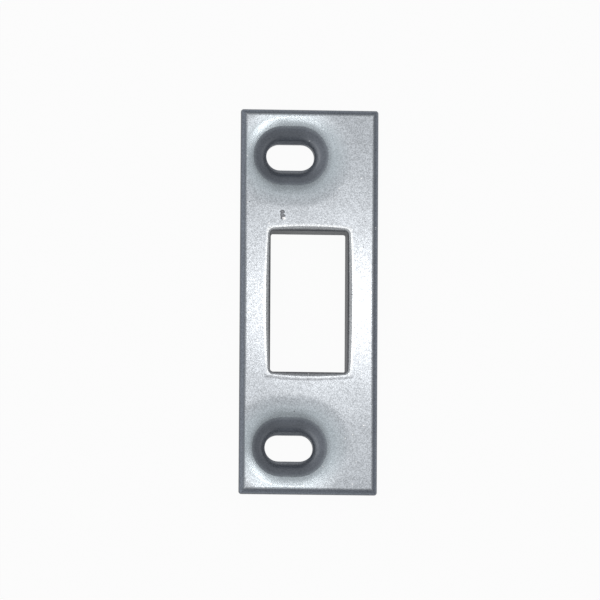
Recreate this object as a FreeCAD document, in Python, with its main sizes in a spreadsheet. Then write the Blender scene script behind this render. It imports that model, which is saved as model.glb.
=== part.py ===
import FreeCAD, Part
import math
import os
import Sketcher

# Door strike plate, pressed from one piece of steel sheet.
# It lies on its back: X runs across the plate, Y along it, and +Z is the normal of its face.
# Z is 0 at the rims of the turned-in lip and the two screw dimples, which end level.
# Lengths are in millimetres and slopes in degrees from the face.
SIZES = {
    "plate_width": 25.0,
    "plate_length": 70.0,
    "corner_radius": 0.5,
    "sheet_thickness": 1.5,
    "edge_round": 1.2,
    "form_depth": 4.0,
    "screw_pitch": 53.0,
    "screw_offset": 3.4,
    "slot_length": 8.8,
    "slot_width": 4.8,
    "slot_edge_depth": 2.8,
    "dimple_span": 2.8,
    "cone_slope": 58.0,
    "rim_radius": 4.2,
    "sink_radius": 7.0,
    "sink_slope": 14.0,
    "root_radius": 1.5,
    "opening_width": 14.0,
    "opening_length": 25.6,
    "opening_corner": 0.6,
    "draft": 4.0,
    "lip_wall": 1.0,
    "lip_radius": 0.8,
    "lip_end_slope": 78.0,
    "lip_lead_radius": 2.0,
    "lip_lead_slope": 12.0,
    "lip_corner_share": 0.5,
    "lip_corner_growth": 0.7,
}

# Tools reach this far past the metal that they cut, and points this close count as one.
OVERCUT = 0.5
CLOSE = 1e-6

# Heights and depths that several features share, worked out from the sheet's cells.
BACK_HEIGHT = "(sizes.form_depth - sizes.sheet_thickness)"
SCREW_Y = "(sizes.screw_pitch / 2)"
PATH_RADIUS = "(sizes.slot_width / 4)"
DRAFT_RISE = "tan(sizes.draft * 1deg)"


def sine(slope):
    return f"sin({slope} * 1deg)"


def cosine(slope):
    return f"cos({slope} * 1deg)"


def make_sizes(doc):
    """The driving dimensions, one named cell each."""
    sheet = doc.addObject("Spreadsheet::Sheet", "sizes")
    for row, (name, value) in enumerate(SIZES.items(), start=1):
        sheet.set(f"A{row}", name)
        sheet.set(f"B{row}", str(value))
        sheet.setAlias(f"B{row}", name)
    doc.recompute()
    return sheet


def number(formula):
    """What a formula of the sheet's cells comes to."""
    value = FreeCAD.ActiveDocument.sizes.evalExpression(str(formula))
    return float(getattr(value, "Value", value))


def origin_plane(body, role):
    return next(plane for plane in body.Origin.OriginFeatures if plane.Role == role)


def add_sketch(body, name, role, offset):
    """An empty sketch parallel to one of the body's own planes, offset along its normal."""
    sketch = body.newObject("Sketcher::SketchObject", name)
    sketch.AttachmentSupport = [(origin_plane(body, role), "")]
    sketch.MapMode = "FlatFace"
    sketch.setExpression(".AttachmentOffset.Base.z", offset)
    FreeCAD.ActiveDocument.recompute()
    return sketch


def dimension(sketch, name, formula, kind, *references):
    """A named dimension that is bound to a formula of the sheet's cells."""
    value = number(formula)
    if kind == "Angle":
        value = math.radians(value)
    index = sketch.addConstraint(Sketcher.Constraint(kind, *references, value))
    sketch.renameConstraint(index, name)
    sketch.setExpression(f"Constraints.{name}", str(formula))


def centred_rectangle(sketch, half_width, half_length, corner=None):
    """A closed rectangle round the sketch's origin, with round corners if a radius is given."""
    across = number(half_width)
    up = number(half_length)
    radius = number(corner) if corner else 0.0
    turns = [(1, 1), (-1, 1), (-1, -1), (1, -1)]
    sides = []
    for here, there in zip(turns, turns[1:] + turns[:1]):
        start = [here[0] * across, here[1] * up, 0]
        end = [there[0] * across, there[1] * up, 0]
        axis = 0 if here[1] == there[1] else 1
        start[axis] -= here[axis] * radius
        end[axis] -= there[axis] * radius
        line = Part.LineSegment(FreeCAD.Vector(*start), FreeCAD.Vector(*end))
        side = sketch.addGeometry(line)
        sides.append(side)
        sketch.addConstraint(Sketcher.Constraint("Horizontal" if axis == 0 else "Vertical", side))
    top, left, bottom, right = sides
    if corner:
        arcs = []
        for index, turn in enumerate(turns):
            centre = FreeCAD.Vector(turn[0] * (across - radius), turn[1] * (up - radius), 0)
            circle = Part.Circle(centre, FreeCAD.Vector(0, 0, 1), radius)
            quarter = math.pi / 2 * index
            bend = sketch.addGeometry(Part.ArcOfCircle(circle, quarter, quarter + math.pi / 2))
            sketch.addConstraint(Sketcher.Constraint("Tangent", sides[index - 1], 2, bend, 1))
            sketch.addConstraint(Sketcher.Constraint("Tangent", bend, 2, sides[index], 1))
            if arcs:
                sketch.addConstraint(Sketcher.Constraint("Equal", arcs[0], bend))
            arcs.append(bend)
        dimension(sketch, "corner", corner, "Radius", arcs[0])
    else:
        for index, side in enumerate(sides):
            sketch.addConstraint(Sketcher.Constraint("Coincident", sides[index - 1], 2, side, 1))
    dimension(sketch, "right_side", half_width, "DistanceX", -1, 1, right, 1)
    dimension(sketch, "left_side", half_width, "DistanceX", left, 1, -1, 1)
    dimension(sketch, "top_side", half_length, "DistanceY", -1, 1, top, 1)
    dimension(sketch, "bottom_side", half_length, "DistanceY", bottom, 1, -1, 1)


def obround(sketch, span, radius):
    """A slot's outline across the plate, at the upper screw: two half circles and two lines."""
    half_span = number(span) / 2
    half_width = number(radius)
    middle = -number("sizes.screw_offset")
    height = number(SCREW_Y)
    ends = []
    for side, start in ((1, -math.pi / 2), (-1, math.pi / 2)):
        centre = FreeCAD.Vector(middle + side * half_span, height, 0)
        circle = Part.Circle(centre, FreeCAD.Vector(0, 0, 1), half_width)
        ends.append(sketch.addGeometry(Part.ArcOfCircle(circle, start, start + math.pi)))
    right, left = ends
    for end, other, side in ((right, left, 1), (left, right, -1)):
        start = FreeCAD.Vector(middle + side * half_span, height + side * half_width, 0)
        stop = FreeCAD.Vector(middle - side * half_span, height + side * half_width, 0)
        line = sketch.addGeometry(Part.LineSegment(start, stop))
        sketch.addConstraint(Sketcher.Constraint("Tangent", end, 2, line, 1))
        sketch.addConstraint(Sketcher.Constraint("Tangent", line, 2, other, 1))
    sketch.addConstraint(Sketcher.Constraint("Equal", right, left))
    dimension(sketch, "radius", radius, "Radius", right)
    dimension(sketch, "right_end", f"sizes.screw_offset - {span} / 2", "DistanceX", right, 3, -1, 1)
    dimension(sketch, "left_end", f"sizes.screw_offset + {span} / 2", "DistanceX", left, 3, -1, 1)
    dimension(sketch, "right_height", SCREW_Y, "DistanceY", -1, 1, right, 3)
    dimension(sketch, "left_height", SCREW_Y, "DistanceY", -1, 1, left, 3)


def edges_where(feature, test):
    """The names of the feature's edges whose every end and middle point passes a test."""
    names = []
    for index, edge in enumerate(feature.Shape.Edges, start=1):
        middle = edge.valueAt((edge.FirstParameter + edge.LastParameter) / 2)
        if all(test(point) for point in [vertex.Point for vertex in edge.Vertexes] + [middle]):
            names.append(f"Edge{index}")
    return names


def round_edges(body, name, base, edges, radius):
    """A fillet on some of the base feature's edges."""
    fillet = body.newObject("PartDesign::Fillet", name)
    fillet.Base = (base, edges)
    fillet.setExpression("Radius", radius)
    FreeCAD.ActiveDocument.recompute()
    return fillet


def press_blank(body):
    """The flat blank, with its face edges rounded over and its corners just broken."""
    outline = add_sketch(body, "outline", "XY_Plane", "sizes.form_depth")
    centred_rectangle(outline, "sizes.plate_width / 2", "sizes.plate_length / 2")
    blank = body.newObject("PartDesign::Pad", "blank")
    blank.Profile = outline
    blank.Reversed = True
    blank.setExpression("Length", "sizes.sheet_thickness")
    FreeCAD.ActiveDocument.recompute()
    face = number("sizes.form_depth")
    outside = edges_where(blank, lambda point: abs(point.z - face) < CLOSE)
    rounded = round_edges(body, "face_edges", blank, outside, "sizes.edge_round")
    across = number("sizes.plate_width / 2 - sizes.edge_round") - CLOSE
    up = number("sizes.plate_length / 2 - sizes.edge_round") - CLOSE
    corners = edges_where(
        rounded,
        lambda point: abs(point.x) > across and abs(point.y) > up
        and abs((abs(point.x) - across) - (abs(point.y) - up)) < CLOSE,
    )
    return round_edges(body, "corners", rounded, corners, "sizes.corner_radius")


def arc(centre, radius, start, end):
    """An arc of a circle, anticlockwise between two directions in degrees."""
    circle = Part.Circle(centre, FreeCAD.Vector(0, 0, 1), radius)
    return Part.ArcOfCircle(circle, math.radians(start), math.radians(end))


def point_from(centre, radius, direction):
    """The point at a distance from another, in a direction given in degrees."""
    turn = math.radians(direction)
    return centre + radius * FreeCAD.Vector(math.cos(turn), math.sin(turn), 0)


def chain(sketch, pieces, joints):
    """Adds lines and arcs and joins them: a joint is two ends and whether the curve runs on smoothly."""
    ids = [sketch.addGeometry(piece) for piece in pieces]
    for first, first_end, second, second_end, smooth in joints:
        kind = "Tangent" if smooth else "Coincident"
        sketch.addConstraint(Sketcher.Constraint(kind, ids[first], first_end, ids[second], second_end))
    return ids


def hollow_section(body):
    """The dimple's section on the face side: a wide soft sink, a rounded rim, then the cone."""
    sketch = add_sketch(body, "hollow_section", "YZ_Plane", "-sizes.screw_offset")
    floor_reach = f"({SCREW_Y} + sizes.slot_width / 2 - {OVERCUT})"
    floor_height = f"(sizes.form_depth - sizes.slot_edge_depth - {OVERCUT} * tan(sizes.cone_slope * 1deg))"
    inner_reach = f"({SCREW_Y} + {PATH_RADIUS})"
    top_height = f"(sizes.form_depth + {OVERCUT})"
    face = number("sizes.form_depth")
    sink_slope = number("sizes.sink_slope")
    cone_slope = number("sizes.cone_slope")
    sink_radius = number("sizes.sink_radius")
    rim_radius = number("sizes.rim_radius")
    floor = FreeCAD.Vector(number(floor_reach), number(floor_height), 0)
    inner = number(inner_reach)
    top = number(top_height)

    sink_centre = FreeCAD.Vector(0, face - sink_radius, 0)
    rim_centre = point_from(sink_centre, sink_radius - rim_radius, 90 + sink_slope)
    cone_top = point_from(rim_centre, rim_radius, 90 + cone_slope)
    cone_run = (cone_top.y - floor.y) / math.tan(math.radians(cone_slope))
    shift = FreeCAD.Vector(floor.x + cone_run - cone_top.x, 0, 0)
    sink_centre += shift
    rim_centre += shift
    cone_top += shift
    outer_top = FreeCAD.Vector(sink_centre.x, top, 0)
    sink_start = FreeCAD.Vector(sink_centre.x, face, 0)
    inner_top = FreeCAD.Vector(inner, top, 0)
    inner_floor = FreeCAD.Vector(inner, floor.y, 0)
    lid, outside, sink, rim, cone, base, inside = chain(
        sketch,
        [
            Part.LineSegment(inner_top, outer_top),
            Part.LineSegment(outer_top, sink_start),
            arc(sink_centre, sink_radius, 90, 90 + sink_slope),
            arc(rim_centre, rim_radius, 90 + sink_slope, 90 + cone_slope),
            Part.LineSegment(floor, cone_top),
            Part.LineSegment(floor, inner_floor),
            Part.LineSegment(inner_floor, inner_top),
        ],
        [
            (0, 2, 1, 1, False),
            (1, 2, 2, 1, False),
            (2, 2, 3, 1, True),
            (3, 2, 4, 2, True),
            (4, 1, 5, 1, False),
            (5, 2, 6, 1, False),
            (6, 2, 0, 1, False),
        ],
    )
    sketch.addConstraint([
        Sketcher.Constraint("Horizontal", lid),
        Sketcher.Constraint("Horizontal", base),
        Sketcher.Constraint("Vertical", outside),
        Sketcher.Constraint("Vertical", inside),
        Sketcher.Constraint("Vertical", sink, 3, sink, 1),
    ])
    dimension(sketch, "sink_radius", "sizes.sink_radius", "Radius", sink)
    dimension(sketch, "rim_radius", "sizes.rim_radius", "Radius", rim)
    sink_run = f"sizes.sink_radius * {sine('sizes.sink_slope')}"
    dimension(sketch, "sink_run", sink_run, "DistanceX", sink, 2, sink, 1)
    dimension(sketch, "cone_slope", "sizes.cone_slope", "Angle", cone)
    dimension(sketch, "floor_reach", floor_reach, "DistanceX", -1, 1, cone, 1)
    dimension(sketch, "floor_height", floor_height, "DistanceY", -1, 1, cone, 1)
    dimension(sketch, "face_height", "sizes.form_depth", "DistanceY", -1, 1, sink, 1)
    dimension(sketch, "inner_reach", inner_reach, "DistanceX", -1, 1, lid, 1)
    dimension(sketch, "top_height", top_height, "DistanceY", -1, 1, lid, 1)
    return sketch


def bulge_section(body):
    """The dimple's section behind the sheet: a root radius, a cone as thick as the sheet, a flat foot."""
    sketch = add_sketch(body, "bulge_section", "YZ_Plane", "-sizes.screw_offset")
    cone = number("sizes.cone_slope")
    root_radius = number("sizes.root_radius")
    inner_reach = f"({SCREW_Y} + {PATH_RADIUS})"
    top_height = f"({BACK_HEIGHT} + sizes.sheet_thickness / 2)"
    wall_run = f"(sizes.sheet_thickness / {sine('sizes.cone_slope')})"
    foot_run = "((sizes.form_depth - sizes.slot_edge_depth) / tan(sizes.cone_slope * 1deg))"
    foot_reach = f"({SCREW_Y} + sizes.slot_width / 2 + {wall_run} - {foot_run})"
    inner = number(inner_reach)
    top = number(top_height)
    back = number(BACK_HEIGHT)
    foot_end = FreeCAD.Vector(number(foot_reach), 0, 0)

    cone_end = foot_end.x + back / math.tan(math.radians(cone))
    root_run = root_radius * math.tan(math.radians(cone / 2))
    root_centre = FreeCAD.Vector(cone_end + root_run, back - root_radius, 0)
    root_start = FreeCAD.Vector(root_centre.x, back, 0)
    outer_top = FreeCAD.Vector(root_centre.x, top, 0)
    inner_top = FreeCAD.Vector(inner, top, 0)
    inner_foot = FreeCAD.Vector(inner, 0, 0)
    lid, outside, root, wall, foot, inside = chain(
        sketch,
        [
            Part.LineSegment(inner_top, outer_top),
            Part.LineSegment(outer_top, root_start),
            arc(root_centre, root_radius, 90, 90 + cone),
            Part.LineSegment(foot_end, point_from(root_centre, root_radius, 90 + cone)),
            Part.LineSegment(foot_end, inner_foot),
            Part.LineSegment(inner_foot, inner_top),
        ],
        [
            (0, 2, 1, 1, False),
            (1, 2, 2, 1, False),
            (2, 2, 3, 2, True),
            (3, 1, 4, 1, False),
            (4, 2, 5, 1, False),
            (5, 2, 0, 1, False),
        ],
    )
    sketch.addConstraint([
        Sketcher.Constraint("Horizontal", lid),
        Sketcher.Constraint("Horizontal", foot),
        Sketcher.Constraint("Vertical", outside),
        Sketcher.Constraint("Vertical", inside),
        Sketcher.Constraint("Vertical", root, 3, root, 1),
    ])
    dimension(sketch, "root_radius", "sizes.root_radius", "Radius", root)
    dimension(sketch, "cone_slope", "sizes.cone_slope", "Angle", wall)
    dimension(sketch, "back_height", BACK_HEIGHT, "DistanceY", -1, 1, root, 1)
    dimension(sketch, "foot_reach", foot_reach, "DistanceX", -1, 1, foot, 1)
    sketch.addConstraint(Sketcher.Constraint("PointOnObject", foot, 1, -1))
    dimension(sketch, "inner_reach", inner_reach, "DistanceX", -1, 1, lid, 1)
    dimension(sketch, "top_height", top_height, "DistanceY", -1, 1, lid, 1)
    return sketch


def sweep(body, kind, name, section, path):
    """The section swept round the dimple's centre line."""
    pipe = body.newObject(f"PartDesign::{kind}", name)
    pipe.Profile = section
    pipe.Spine = (path, [])
    FreeCAD.ActiveDocument.recompute()
    return pipe


def cut_through(body, name, sketch):
    """A straight hole through everything below the sketch."""
    pocket = body.newObject("PartDesign::Pocket", name)
    pocket.Profile = sketch
    pocket.Type = "ThroughAll"
    FreeCAD.ActiveDocument.recompute()
    return pocket


def form_dimples(body):
    """Both screw dimples, each with the slot that was pierced through its floor."""
    path = add_sketch(body, "dimple_path", "XY_Plane", "sizes.form_depth")
    obround(path, "sizes.dimple_span", PATH_RADIUS)
    bulge = sweep(body, "AdditivePipe", "dimple_back", bulge_section(body), path)
    outline = add_sketch(body, "slot_outline", "XY_Plane", "sizes.form_depth")
    obround(outline, "(sizes.slot_length - sizes.slot_width)", "sizes.slot_width / 2")
    slot = cut_through(body, "screw_slot", outline)
    hollow = sweep(body, "SubtractivePipe", "dimple_face", hollow_section(body), path)
    mirrored = body.newObject("PartDesign::Mirrored", "lower_dimple")
    mirrored.Originals = [bulge, slot, hollow]
    mirrored.MirrorPlane = (origin_plane(body, "XZ_Plane"), [""])
    body.Tip = mirrored
    FreeCAD.ActiveDocument.recompute()
    return mirrored


# The lip turns from the face into the opening: a soft lead, then its own radius, down to the wall.
LEAD_RUN = f"(sizes.lip_lead_radius * {sine('sizes.lip_lead_slope')})"
LEAD_DROP = f"(sizes.lip_lead_radius * (1 - {cosine('sizes.lip_lead_slope')}))"


def lip_run(slope):
    """How far the lip has turned in from its start, where its surface has this slope."""
    return f"({LEAD_RUN} + sizes.lip_radius * ({sine(slope)} - {sine('sizes.lip_lead_slope')}))"


def lip_drop(slope):
    """How far it is below the face there."""
    return f"({LEAD_DROP} + sizes.lip_radius * ({cosine('sizes.lip_lead_slope')} - {cosine(slope)}))"


LIP_WIDTH = lip_run("sizes.lip_end_slope")
LIP_DEPTH = lip_drop("sizes.lip_end_slope")


def bowed_rectangle(sketch, half_width, half_length, bow, corner):
    """A closed outline round the sketch's origin: four sides that bow outwards, and round corners."""
    bulge = number(bow)
    radius = number(corner)
    cut = radius * (1 - math.cos(math.pi / 4))
    ids = []
    for quarter in range(4):
        turn = FreeCAD.Rotation(FreeCAD.Vector(0, 0, 1), 90 * quarter)
        out, up = [(half_width, half_length), (half_length, half_width)][quarter % 2]
        out = number(out) - bulge
        up = number(up) - bulge
        side = [(out, radius - up), (out + bulge, 0), (out, up - radius)]
        bend = [(out, up - radius), (out - cut, up - cut), (out - radius, up)]
        for points in (side, bend):
            placed = [turn.multVec(FreeCAD.Vector(x, y, 0)) for x, y in points]
            ids.append(sketch.addGeometry(Part.ArcOfCircle(*placed)))
    for index, piece in enumerate(ids):
        following = ids[(index + 1) % len(ids)]
        sketch.addConstraint(Sketcher.Constraint("Tangent", piece, 2, following, 1))
    right, bend, top, second, left, third, bottom, fourth = ids
    sketch.addConstraint([
        Sketcher.Constraint("PointOnObject", right, 3, -1),
        Sketcher.Constraint("PointOnObject", left, 3, -1),
        Sketcher.Constraint("PointOnObject", top, 3, -2),
        Sketcher.Constraint("PointOnObject", bottom, 3, -2),
        Sketcher.Constraint("Equal", right, left),
        Sketcher.Constraint("Equal", top, bottom),
        Sketcher.Constraint("Equal", bend, second),
        Sketcher.Constraint("Equal", bend, third),
        Sketcher.Constraint("Equal", bend, fourth),
    ])
    side_curve = f"((({half_length})^2 + ({bow})^2) / (2 * {bow}))"
    end_curve = f"((({half_width})^2 + ({bow})^2) / (2 * {bow}))"
    dimension(sketch, "corner", corner, "Radius", bend)
    dimension(sketch, "side_curve", side_curve, "Radius", right)
    dimension(sketch, "end_curve", end_curve, "Radius", top)
    dimension(sketch, "right_side", f"{side_curve} - {half_width}", "DistanceX", right, 3, -1, 1)
    dimension(sketch, "left_side", f"{side_curve} - {half_width}", "DistanceX", -1, 1, left, 3)
    dimension(sketch, "top_side", f"{end_curve} - {half_length}", "DistanceY", top, 3, -1, 1)
    dimension(sketch, "bottom_side", f"{end_curve} - {half_length}", "DistanceY", -1, 1, bottom, 3)


def tapered(body, kind, name, sketch, length, reverse):
    """A pad or pocket whose walls draw in with the lip's draft on the way down."""
    feature = body.newObject(f"PartDesign::{kind}", name)
    feature.Profile = sketch
    feature.Reversed = reverse
    feature.setExpression("Length", length)
    feature.setExpression("TaperAngle", "-sizes.draft")
    FreeCAD.ActiveDocument.recompute()
    return feature


def draw_lip_wall(body):
    """The outside of the lip, drawn down behind the sheet round the bolt opening."""
    start = f"({BACK_HEIGHT} + sizes.sheet_thickness / 2)"
    widening = f"({start} - sizes.form_depth + {LIP_DEPTH}) * {DRAFT_RISE}"
    outline = add_sketch(body, "lip_outline", "XY_Plane", start)
    centred_rectangle(
        outline,
        f"(sizes.opening_width / 2 + sizes.lip_wall + {widening})",
        f"(sizes.opening_length / 2 + sizes.lip_wall + {widening})",
        f"(sizes.opening_corner + sizes.lip_wall + {widening})",
    )
    return tapered(body, "Pad", "lip_back", outline, start, True)


def pierce_opening(body):
    """The bolt opening: its drawn wall, then the bowed lip that leads into it from the face."""
    widening = f"({LIP_DEPTH} * {DRAFT_RISE})"
    outline = add_sketch(body, "opening_outline", "XY_Plane", "sizes.form_depth")
    centred_rectangle(
        outline,
        f"(sizes.opening_width / 2 + {widening})",
        f"(sizes.opening_length / 2 + {widening})",
        f"(sizes.opening_corner + {widening})",
    )
    tapered(body, "Pocket", "bolt_opening", outline, f"sizes.form_depth + {OVERCUT}", False)
    slopes = ["sizes.lip_lead_slope", "((sizes.lip_lead_slope + sizes.lip_end_slope) / 2)"]
    stations = [("0", "0")] + [(lip_run(slope), lip_drop(slope)) for slope in slopes]
    sections = []
    for index, (run, drop) in enumerate(stations):
        rest = f"({LIP_WIDTH} - {run})"
        sketch = add_sketch(body, f"lip_section_{index}", "XY_Plane", f"sizes.form_depth - {drop}")
        bowed_rectangle(
            sketch,
            f"(sizes.opening_width / 2 + {rest})",
            f"(sizes.opening_length / 2 + {rest})",
            f"((1 - sizes.lip_corner_share) * {rest})",
            f"(sizes.opening_corner + sizes.lip_corner_growth * {rest})",
        )
        sections.append(sketch)
    for index, reach in enumerate((0, OVERCUT)):
        inward = f"({reach} * {cosine('sizes.lip_end_slope')})"
        down = f"({LIP_DEPTH} + {reach} * {sine('sizes.lip_end_slope')})"
        sketch = add_sketch(body, f"lip_end_{index}", "XY_Plane", f"sizes.form_depth - {down}")
        centred_rectangle(
            sketch,
            f"(sizes.opening_width / 2 - {inward})",
            f"(sizes.opening_length / 2 - {inward})",
            "sizes.opening_corner",
        )
        sections.append(sketch)
    lip = body.newObject("PartDesign::SubtractiveLoft", "lip_face")
    lip.Profile = sections[0]
    lip.Sections = sections[1:]
    lip.Ruled = False
    FreeCAD.ActiveDocument.recompute()
    return lip


def check(doc, body):
    """Stops if a feature failed, or if the part isn't one valid solid."""
    for item in doc.Objects:
        if "Invalid" in item.State or "Error" in item.State:
            raise RuntimeError(f"{item.Name} failed: {item.State}")
    shape = body.Shape
    if shape.isNull() or not shape.isValid() or len(shape.Solids) != 1:
        raise RuntimeError(f"{body.Label} is not one valid solid")


doc = FreeCAD.newDocument("door_strike_plate")
make_sizes(doc)
strike_plate = doc.addObject("PartDesign::Body", "strike_plate")
strike_plate.Label = "strike_plate"
press_blank(strike_plate)
draw_lip_wall(strike_plate)
form_dimples(strike_plate)
pierce_opening(strike_plate)
doc.recompute()
check(doc, strike_plate)

os.makedirs("parts", exist_ok=True)
strike_plate.Shape.exportStep(f"parts/{strike_plate.Label}.step")
box = strike_plate.Shape.optimalBoundingBox()
print(f"{strike_plate.Label}: {strike_plate.Shape.Volume:.1f} cubic mm, "
      f"{box.XLength:.2f} x {box.YLength:.2f} x {box.ZLength:.2f} mm")
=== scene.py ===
import bpy
import math
from mathutils import Matrix, Vector


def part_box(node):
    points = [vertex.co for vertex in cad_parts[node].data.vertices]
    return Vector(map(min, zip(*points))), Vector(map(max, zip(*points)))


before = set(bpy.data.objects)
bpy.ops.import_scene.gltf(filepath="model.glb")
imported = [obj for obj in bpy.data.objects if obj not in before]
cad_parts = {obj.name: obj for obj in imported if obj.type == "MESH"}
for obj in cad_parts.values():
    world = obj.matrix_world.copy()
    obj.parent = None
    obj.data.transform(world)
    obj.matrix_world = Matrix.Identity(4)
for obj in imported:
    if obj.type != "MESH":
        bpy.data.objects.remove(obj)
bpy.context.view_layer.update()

# The strike plate is one piece of steel sheet, cut, pressed and pierced, then plated a satin grey.
# The press turns the bolt opening's edge inwards and sinks a dimple round each screw slot.
# It keeps the shape that it has in the part's source, and only its finish is made here.
MM = 0.001
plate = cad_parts["strike_plate"]
low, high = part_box("strike_plate")
face_centre = Vector(((low.x + high.x) / 2, (low.y + high.y) / 2, high.z))

FACE_GREY = (0.573, 0.609, 0.652, 1.0)
DIMPLE_GREY = (0.545, 0.607, 0.652, 1.0)
SLOPE_SHADE_GREY = (0.270, 0.299, 0.348, 1.0)
DARK_SHADE_GREY = (0.165, 0.173, 0.19, 1.0)
PAINTED_HIGHLIGHT_GREY = (0.775, 0.806, 0.838, 1.0)
NICK_SHADE_GREY = (0.21, 0.218, 0.238, 1.0)
KNOT_AND_HIGHLIGHT_GREY = (0.97, 0.98, 0.99, 1.0)
PIT_GREY = (0.25, 0.256, 0.275, 1.0)

plating = bpy.data.materials.new("satin_plated_steel")
plating.use_nodes = True
plating_nodes = plating.node_tree.nodes
plating_links = plating.node_tree.links
plating_shader = plating_nodes["Principled BSDF"]
plating_shader.inputs["Metallic"].default_value = 1.0


def plating_node(kind, inputs, **settings):
    """Adds a node to the plating, with its settings, and with its inputs linked or set."""
    node = plating_nodes.new(kind)
    for name, value in settings.items():
        setattr(node, name, value)
    for name, value in inputs.items():
        if isinstance(value, bpy.types.NodeSocket):
            plating_links.new(value, node.inputs[name])
        else:
            node.inputs[name].default_value = value
    return node


def plating_sum(operation, *values):
    """A Math node on the plating's sockets or on plain numbers."""
    return plating_node("ShaderNodeMath", dict(enumerate(values)), operation=operation).outputs[0]


def plating_ramp(value, start, end, low_end=0.0, high_end=1.0):
    """Goes smoothly from one number to another while a value goes from start to end."""
    limits = {"Value": value, "From Min": start, "From Max": end, "To Min": low_end, "To Max": high_end}
    return plating_node("ShaderNodeMapRange", limits, interpolation_type="SMOOTHSTEP").outputs[0]


def plating_overlap(first, *others):
    """The mask of where all the given masks hold."""
    for other in others:
        first = plating_sum("MULTIPLY", first, other)
    return first


surface = plating_nodes.new("ShaderNodeTexCoord")
place = surface.outputs["Object"]
across, along, height = plating_node("ShaderNodeSeparateXYZ", {0: place}).outputs
facing = plating_node("ShaderNodeSeparateXYZ", {0: surface.outputs["Normal"]}).outputs["Z"]

# The plating is duller in the dimples, down the opening's wall and round the rolled edge, which no
# polishing reaches.
# On these slopes its colour is also darkened, as painted shade. The back keeps the face's tone.
SLOPE_START = 0.998
SLOPE_FULL = 0.92
BACK_START = -0.02
BACK_FULL = -0.10
depth = plating_sum("SUBTRACT", high.z, height)
sunk = plating_overlap(
    plating_ramp(facing, SLOPE_START, SLOPE_FULL),
    plating_ramp(facing, BACK_FULL, BACK_START),
)

# Round each dimple the sheet is also drawn down a little, which bends the light well past the sink.
DIMPLE_X = -3.4 * MM
DIMPLE_Y = 26.5 * MM
DIMPLE_HALF_SPAN = 2.0 * MM
DRAW_START = 8.9 * MM
DRAW_END = 6.2 * MM
DRAW_DEPTH = 0.21 * MM
DRAW_BLEND = 0.35


def plating_length(vector):
    """How long a vector is."""
    return plating_node("ShaderNodeVectorMath", {0: vector}, operation="LENGTH").outputs["Value"]


from_middle = plating_sum("ABSOLUTE", plating_sum("SUBTRACT", across, DIMPLE_X))
past_end = plating_sum("MAXIMUM", plating_sum("SUBTRACT", from_middle, DIMPLE_HALF_SPAN), 0.0)
beside = plating_sum("SUBTRACT", plating_sum("ABSOLUTE", along), DIMPLE_Y)
from_slot = plating_length(plating_node("ShaderNodeCombineXYZ", {0: past_end, 1: beside}).outputs[0])
inside_start = plating_sum("SUBTRACT", DRAW_START, from_slot)
draw_share = plating_sum("DIVIDE", inside_start, DRAW_START - DRAW_END)
draw_share = plating_sum("SMOOTH_MIN", draw_share, 1.0, DRAW_BLEND)
drawn_down = plating_sum("SMOOTH_MAX", draw_share, 0.0, DRAW_BLEND)

# Where the roll that turns into the opening begins to bend, a lighter ring is painted on, as a painted
# highlight.
# Below the opening the painted highlight is weaker.
OPENING_HALF_WIDTH = 8.03 * MM
OPENING_HALF_LENGTH = 13.83 * MM
OPENING_BOW = 0.52 * MM
OPENING_CORNER = 0.8 * MM
RIM_HIGHLIGHT_WIDTH = 0.38 * MM
RIM_HIGHLIGHT_DEPTH = 0.32 * MM
RIM_HIGHLIGHT_SHARE_BELOW = 0.45
RIM_HIGHLIGHT_RISE = 2.0 * MM


def beyond_side(out, up, half_out, half_up):
    """How far a point lies outside a bowed side of the opening."""
    share = plating_sum("DIVIDE", up, half_up)
    fall = plating_sum("MULTIPLY", plating_sum("MULTIPLY", share, share), OPENING_BOW)
    return plating_sum("ADD", plating_sum("SUBTRACT", plating_sum("ABSOLUTE", out), half_out), fall)


beyond = plating_sum(
    "SMOOTH_MAX",
    beyond_side(across, along, OPENING_HALF_WIDTH, OPENING_HALF_LENGTH),
    beyond_side(along, across, OPENING_HALF_LENGTH, OPENING_HALF_WIDTH),
    OPENING_CORNER,
)
rim_highlight = plating_overlap(
    plating_ramp(beyond, RIM_HIGHLIGHT_WIDTH, 0.0),
    plating_ramp(depth, RIM_HIGHLIGHT_DEPTH, 0.0),
    plating_ramp(along, -OPENING_HALF_LENGTH, RIM_HIGHLIGHT_RISE - OPENING_HALF_LENGTH, RIM_HIGHLIGHT_SHARE_BELOW, 1.0),
)

# Below the opening a faint dark line is painted just outside the roll, as painted shade.
SHADE_LINE_START = 0.05 * MM
SHADE_LINE_INNER_FADE = 0.1 * MM
SHADE_LINE_END = 0.75 * MM
SHADE_LINE_OUTER_FADE = 0.3 * MM
SHADE_LINE_SHARE = 0.5
shade_line = plating_overlap(
    plating_ramp(beyond, SHADE_LINE_START, SHADE_LINE_START + SHADE_LINE_INNER_FADE, 0.0, SHADE_LINE_SHARE),
    plating_ramp(beyond, SHADE_LINE_END, SHADE_LINE_END - SHADE_LINE_OUTER_FADE),
    plating_ramp(along, -OPENING_HALF_LENGTH + OPENING_CORNER, -OPENING_HALF_LENGTH),
)

# Each dimple is darkened towards its slot as painted shade, and at its foot a ring is painted a little
# lighter, as painted light.
DEEP_START = 5.4 * MM
DEEP_END = 3.9 * MM
DEEP_SHARE = 0.35
deep_shade = plating_overlap(sunk, plating_ramp(from_slot, DEEP_START, DEEP_END, 0.0, DEEP_SHARE))
FOOT_HIGHLIGHT_START = 3.6 * MM
FOOT_HIGHLIGHT_END = 2.4 * MM
FOOT_HIGHLIGHT_BLUR = 0.45 * MM
FOOT_HIGHLIGHT_SHARE = 0.15
foot_highlight = plating_overlap(
    plating_ramp(from_slot, FOOT_HIGHLIGHT_START, FOOT_HIGHLIGHT_START - FOOT_HIGHLIGHT_BLUR, 0.0, FOOT_HIGHLIGHT_SHARE),
    plating_ramp(from_slot, FOOT_HIGHLIGHT_END, FOOT_HIGHLIGHT_END + FOOT_HIGHLIGHT_BLUR),
)
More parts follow.
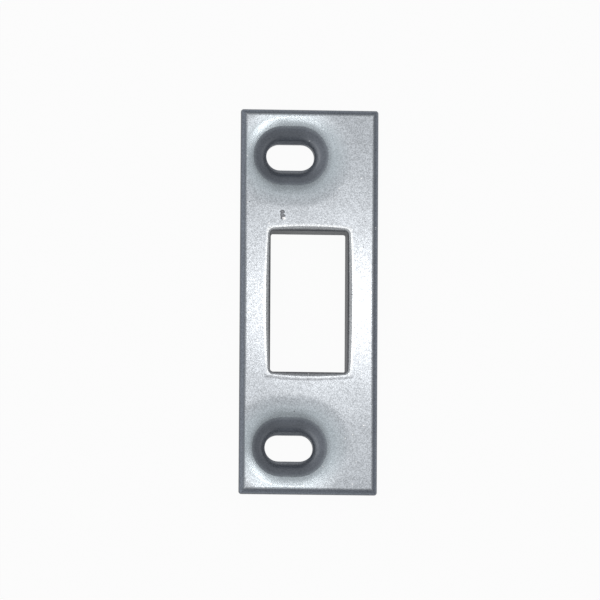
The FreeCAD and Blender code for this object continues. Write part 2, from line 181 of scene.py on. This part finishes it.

# The opening's wall and the sheared sides of the plate are painted darkest, as painted shade, but not the
# screw slots' rims.
SHEARED_START = 0.5
SHEARED_FULL = 0.1
SLOT_RIM = 4.0 * MM
sheared = plating_overlap(
    plating_ramp(facing, SHEARED_START, SHEARED_FULL),
    plating_ramp(from_slot, SLOT_RIM, DRAW_END),
)
darkest = plating_sum("MAXIMUM", plating_ramp(beyond, 0.0, -OPENING_BOW), sheared)
wall_shade = plating_overlap(sunk, darkest)

# Under the plating the sheet has a fine cast-like grain, with faint clouds and a few tiny knots and pits.
GRAIN_PER_METRE = 4600.0
GRAIN_DETAIL = 2.0
GRAIN_BREAKUP = 0.6
CLOUDS_PER_METRE = 190.0
CLOUDS_DETAIL = 3.0
CLOUDS_BREAKUP = 0.55
SPECKS_PER_METRE = 1500.0
SPECK_EDGE = 0.24
SPECK_CORE = 0.08
KNOTS_ABOVE = 0.965
PITS_ABOVE = 0.975


def plating_noise(per_metre, detail, breakup):
    """An even noise on the plating, in so many lumps to the metre."""
    inputs = {"Vector": place, "Scale": per_metre, "Detail": detail, "Roughness": breakup}
    return plating_node("ShaderNodeTexNoise", inputs).outputs["Fac"]


grain = plating_noise(GRAIN_PER_METRE, GRAIN_DETAIL, GRAIN_BREAKUP)
clouds = plating_noise(CLOUDS_PER_METRE, CLOUDS_DETAIL, CLOUDS_BREAKUP)
specks = plating_node("ShaderNodeTexVoronoi", {"Vector": place, "Scale": SPECKS_PER_METRE})
knot_chance, pit_chance, _ = plating_node("ShaderNodeSeparateColor", {0: specks.outputs["Color"]}).outputs
near_speck = plating_ramp(specks.outputs["Distance"], SPECK_EDGE, SPECK_CORE)
knots = plating_overlap(near_speck, plating_sum("GREATER_THAN", knot_chance, KNOTS_ABOVE))
pits = plating_overlap(near_speck, plating_sum("GREATER_THAN", pit_chance, PITS_ABOVE))

# A short upright nick above the opening, left by a knock, has its ragged floor darkened as painted shade
# and a painted highlight beside it.
# Each of its patches is given by its middle, across and along, and by its reach in both directions.
NICK_HEAD = (-4.92 * MM, 16.23 * MM, 0.40 * MM, 0.33 * MM)
NICK_STEM = (-5.01 * MM, 15.47 * MM, 0.28 * MM, 0.68 * MM)
NICK_SPUR = (-4.72 * MM, 15.52 * MM, 0.30 * MM, 0.22 * MM)
NICK_HIGHLIGHT = (-4.64 * MM, 15.02 * MM, 0.30 * MM, 0.24 * MM)
NICK_REACH_UP = 1.0 * MM
NICK_LUMPS_PER_METRE = 3200.0
NICK_DETAIL = 1.0
NICK_BREAKUP = 0.5
NICK_OUTSIDE = 1.15
NICK_INSIDE = 0.7
NOISE_MIDDLE = 0.5
ragged = plating_noise(NICK_LUMPS_PER_METRE, NICK_DETAIL, NICK_BREAKUP)
unevenness = plating_sum("SUBTRACT", ragged, NOISE_MIDDLE)


def nick_patch(x, y, reach_x, reach_y):
    """One ragged patch of the nick, 1 inside and 0 outside."""
    middle = (x, y, high.z)
    reach = (reach_x, reach_y, NICK_REACH_UP)
    inputs = {"Vector": place, "Location": middle, "Scale": reach}
    spot = plating_node("ShaderNodeMapping", inputs, vector_type="TEXTURE").outputs[0]
    from_patch = plating_sum("ADD", plating_length(spot), unevenness)
    return plating_ramp(from_patch, NICK_OUTSIDE, NICK_INSIDE)


nick = nick_patch(*NICK_HEAD)
for patch in (NICK_STEM, NICK_SPUR):
    nick = plating_sum("MAXIMUM", nick, nick_patch(*patch))
nick_highlight = nick_patch(*NICK_HIGHLIGHT)

# Each mark's grey is laid over the one before it, and the grain and the clouds shade them all.
# Where the sheet is drawn down, the press has smoothed the grain.
GRAIN_LOW = 0.25
GRAIN_HIGH = 0.75
GRAIN_SWING = 0.32
DRAWN_GRAIN_SHARE = 0.62
CLOUDS_LOW = 0.3
CLOUDS_HIGH = 0.7
CLOUDS_SWING = 0.04


def plating_tint(under, over, mask):
    """Lays a second colour over the first where the mask is 1."""
    # A Mix node's colours are its inputs 6 and 7, and its output 2.
    return plating_node("ShaderNodeMix", {0: mask, 6: under, 7: over}, data_type="RGBA").outputs[2]


rough_share = plating_ramp(drawn_down, 0.0, 1.0, 1.0, DRAWN_GRAIN_SHARE)
grain_swing = plating_ramp(grain, GRAIN_LOW, GRAIN_HIGH, -GRAIN_SWING, GRAIN_SWING)
grain_shade = plating_sum("MULTIPLY_ADD", grain_swing, rough_share, 1.0)
cloud_shade = plating_ramp(clouds, CLOUDS_LOW, CLOUDS_HIGH, 1.0 - CLOUDS_SWING, 1.0 + CLOUDS_SWING)
face_shade = plating_sum("MULTIPLY", grain_shade, cloud_shade)
tone = FACE_GREY
# The greys on the slopes, deep in the dimples, on the walls and in the line below the opening are painted
# shade. The lighter rings at the dimples' feet and round the opening, and the nick's bright patch, are
# painted highlights.
for shade, mask in (
    (DIMPLE_GREY, drawn_down),
    (DARK_SHADE_GREY, shade_line),
    (SLOPE_SHADE_GREY, sunk),
    (DARK_SHADE_GREY, deep_shade),
    (PAINTED_HIGHLIGHT_GREY, foot_highlight),
    (DARK_SHADE_GREY, wall_shade),
    (PAINTED_HIGHLIGHT_GREY, rim_highlight),
    (KNOT_AND_HIGHLIGHT_GREY, knots),
    (PIT_GREY, pits),
    (NICK_SHADE_GREY, nick),
    (KNOT_AND_HIGHLIGHT_GREY, nick_highlight),
):
    tone = plating_tint(tone, shade, mask)
shaded = plating_node("ShaderNodeVectorMath", {0: tone, "Scale": face_shade}, operation="SCALE").outputs[0]
plating_links.new(shaded, plating_shader.inputs["Base Color"])

# The clouds change how dull the plating is a little, and it is duller where it is sunk.
FACE_DULLNESS = (0.205, 0.225)
SUNK_DULLNESS = 0.10
face_dullness = plating_ramp(clouds, CLOUDS_LOW, CLOUDS_HIGH, *FACE_DULLNESS)
dullness = plating_sum("MULTIPLY_ADD", sunk, SUNK_DULLNESS, face_dullness)
plating_links.new(dullness, plating_shader.inputs["Roughness"])

# The draw-down and the nick go into the surface, and the grain and the knots stand out of it.
NICK_DEPTH = 0.1 * MM
NICK_RELIEF = 0.8
GRAIN_HEIGHT = 0.05 * MM
GRAIN_RELIEF = 0.06
grain_and_knots = plating_sum("ADD", grain, knots)
grain_relief = plating_sum("MULTIPLY", rough_share, GRAIN_RELIEF)
relief = surface.outputs["Normal"]
for form, strength, distance, goes_in in (
    (drawn_down, 1.0, DRAW_DEPTH, True),
    (nick, NICK_RELIEF, NICK_DEPTH, True),
    (grain_and_knots, grain_relief, GRAIN_HEIGHT, False),
):
    relief = plating_node(
        "ShaderNodeBump",
        {"Height": form, "Strength": strength, "Distance": distance, "Normal": relief},
        invert=goes_in,
    ).outputs[0]
plating_links.new(relief, plating_shader.inputs["Normal"])

plate.data.materials.clear()
plate.data.materials.append(plating)

# The floor is a plain pale sheet that the plate lies on.
# It glows faintly to the camera and to the metal, so it stays pale and keeps the plate's shadow.
FLOOR_WIDTH = 4.0
FLOOR_PAINT = (0.86, 0.86, 0.86, 1.0)
FLOOR_DULLNESS = 0.8
FLOOR_SHEEN = 0.1
FLOOR_GLOW_TO_CAMERA = 0.95
FLOOR_GLOW_TO_METAL = 0.25
WHITE = (1.0, 1.0, 1.0, 1.0)
bpy.ops.object.select_all(action="DESELECT")
bpy.ops.mesh.primitive_plane_add(size=FLOOR_WIDTH, location=(0.0, 0.0, low.z))
floor = bpy.context.active_object
floor.name = "floor"
floor_paint = bpy.data.materials.new("floor_paint")
floor_paint.use_nodes = True
floor_nodes = floor_paint.node_tree.nodes
floor_links = floor_paint.node_tree.links
floor_shader = floor_nodes["Principled BSDF"]
floor_shader.inputs["Base Color"].default_value = FLOOR_PAINT
floor_shader.inputs["Roughness"].default_value = FLOOR_DULLNESS
floor_shader.inputs["Specular IOR Level"].default_value = FLOOR_SHEEN
floor_glow = floor_nodes.new("ShaderNodeEmission")
floor_glow.inputs["Color"].default_value = WHITE
floor_glow.inputs["Strength"].default_value = 1.0
floor_rays = floor_nodes.new("ShaderNodeLightPath")
glow_share = None
for ray, share in (
    ("Is Camera Ray", FLOOR_GLOW_TO_CAMERA),
    ("Is Glossy Ray", FLOOR_GLOW_TO_METAL),
    ("Is Transmission Ray", FLOOR_GLOW_TO_METAL),
):
    added = floor_nodes.new("ShaderNodeMath")
    added.operation = "MULTIPLY_ADD"
    floor_links.new(floor_rays.outputs[ray], added.inputs[0])
    added.inputs[1].default_value = share
    added.inputs[2].default_value = 0.0
    if glow_share is not None:
        floor_links.new(glow_share, added.inputs[2])
    glow_share = added.outputs[0]
floor_mix = floor_nodes.new("ShaderNodeMixShader")
floor_links.new(glow_share, floor_mix.inputs["Fac"])
floor_links.new(floor_shader.outputs[0], floor_mix.inputs[1])
floor_links.new(floor_glow.outputs[0], floor_mix.inputs[2])
floor_links.new(floor_mix.outputs[0], floor_nodes["Material Output"].inputs["Surface"])
floor.data.materials.append(floor_paint)

# The camera looks down on the face from far off, a little from the left and from below.
CAMERA_FROM_LEFT = math.radians(4.0)
CAMERA_FROM_BELOW = math.radians(6.5)
CAMERA_ROLL = math.radians(0.32)
CAMERA_DISTANCE = 1400 * MM
CAMERA_REACH = 10.0
SENSOR_WIDTH = 36.0
PHOTO_SIZE = 600
PLATE_PIXELS_PER_METRE = 5533.0
PLATE_CENTRE_X = 309.2
PLATE_CENTRE_Y = 301.1


def turned_to(direction):
    """The turn that points the Z axis in a direction and keeps the X axis across the plate."""
    right = Vector((0.0, 1.0, 0.0)).cross(direction).normalized()
    return Matrix((right, direction.cross(right), direction)).transposed()


towards_camera = Vector((-math.tan(CAMERA_FROM_LEFT), -math.tan(CAMERA_FROM_BELOW), 1.0)).normalized()
view_turn = turned_to(towards_camera)
to_frame_middle = Vector((PHOTO_SIZE / 2 - PLATE_CENTRE_X, PLATE_CENTRE_Y - PHOTO_SIZE / 2, 0.0))
aim = face_centre + view_turn @ to_frame_middle / PLATE_PIXELS_PER_METRE
camera_data = bpy.data.cameras.new("camera")
camera = bpy.data.objects.new("camera", camera_data)
bpy.context.scene.collection.objects.link(camera)
camera.location = aim + towards_camera * CAMERA_DISTANCE
camera.rotation_euler = (view_turn @ Matrix.Rotation(CAMERA_ROLL, 3, "Z")).to_euler()
camera_data.sensor_width = SENSOR_WIDTH
camera_data.lens = SENSOR_WIDTH * CAMERA_DISTANCE * PLATE_PIXELS_PER_METRE / PHOTO_SIZE
camera_data.clip_end = CAMERA_REACH
bpy.context.scene.camera = camera

# A wide round soft box hangs where the flat face mirrors it to the camera, and a small lamp hangs nearer.
# The lamp makes the glow right of the opening and the bright arcs round the dimples.
SOFT_BOX_DISTANCE = 900 * MM
SOFT_BOX_SIZE = (650 * MM, 650 * MM)
SOFT_BOX_WATTS = 0.388
SOFT_BOX_LIGHT = (1.0, 1.0, 1.0)
LAMP_DISTANCE = 180 * MM
LAMP_SIZE = (56 * MM, 12 * MM)
LAMP_WATTS = 0.0077
LAMP_LIGHT = (1.0, 0.965, 0.93)
GLOW_X = 10.0 * MM
GLOW_Y = -1.2 * MM
mirrored = Vector((-towards_camera.x, -towards_camera.y, towards_camera.z))
glow_spot = face_centre + Vector((GLOW_X, GLOW_Y, 0.0))


def hang_lamp(name, target, distance, size, watts, light):
    """Hangs an oval lamp in the mirrored direction, turned to its target, unseen by the camera."""
    lamp = bpy.data.lights.new(name, "AREA")
    lamp.shape = "ELLIPSE"
    lamp.size, lamp.size_y = size
    lamp.energy = watts
    lamp.color = light
    holder = bpy.data.objects.new(name, lamp)
    bpy.context.scene.collection.objects.link(holder)
    holder.location = target + mirrored * distance
    holder.rotation_euler = turned_to(mirrored).to_euler()
    holder.visible_camera = False


hang_lamp("soft_box", face_centre, SOFT_BOX_DISTANCE, SOFT_BOX_SIZE, SOFT_BOX_WATTS, SOFT_BOX_LIGHT)
hang_lamp("near_lamp", glow_spot, LAMP_DISTANCE, LAMP_SIZE, LAMP_WATTS, LAMP_LIGHT)

# The sky is white, a little brighter low down than overhead, and brightest on the plate's left.
# Over its width its strength follows SIDE_BEND * x * x + SIDE_LEAN * x.
SKY_LOW = 0.15
SKY_HIGH = 0.9
SKY_LOW_STRENGTH = 0.43
SKY_HIGH_STRENGTH = 0.4
SIDE_BEND = 0.14
SIDE_LEAN = -0.13
world = bpy.data.worlds.new("studio")
bpy.context.scene.world = world
world.use_nodes = True
world_nodes = world.node_tree.nodes
world_links = world.node_tree.links
world_nodes["Background"].inputs["Color"].default_value = WHITE
sky = world_nodes.new("ShaderNodeTexCoord")
sky_place = world_nodes.new("ShaderNodeSeparateXYZ")
sky_glow = world_nodes.new("ShaderNodeMapRange")
sky_glow.interpolation_type = "SMOOTHSTEP"
sky_glow.inputs["From Min"].default_value = SKY_LOW
sky_glow.inputs["From Max"].default_value = SKY_HIGH
sky_glow.inputs["To Min"].default_value = SKY_LOW_STRENGTH
sky_glow.inputs["To Max"].default_value = SKY_HIGH_STRENGTH
sky_sides = world_nodes.new("ShaderNodeMath")
sky_sides.operation = "MULTIPLY_ADD"
sky_sides.inputs[1].default_value = SIDE_BEND
sky_sides.inputs[2].default_value = SIDE_LEAN
sky_strength = world_nodes.new("ShaderNodeMath")
sky_strength.operation = "MULTIPLY_ADD"
world_links.new(sky.outputs["Generated"], sky_place.inputs[0])
world_links.new(sky_place.outputs["Z"], sky_glow.inputs["Value"])
world_links.new(sky_place.outputs["X"], sky_sides.inputs[0])
world_links.new(sky_sides.outputs[0], sky_strength.inputs[0])
world_links.new(sky_place.outputs["X"], sky_strength.inputs[1])
world_links.new(sky_glow.outputs[0], sky_strength.inputs[2])
world_links.new(sky_strength.outputs[0], world_nodes["Background"].inputs["Strength"])

bpy.context.scene.view_settings.view_transform = "Standard"
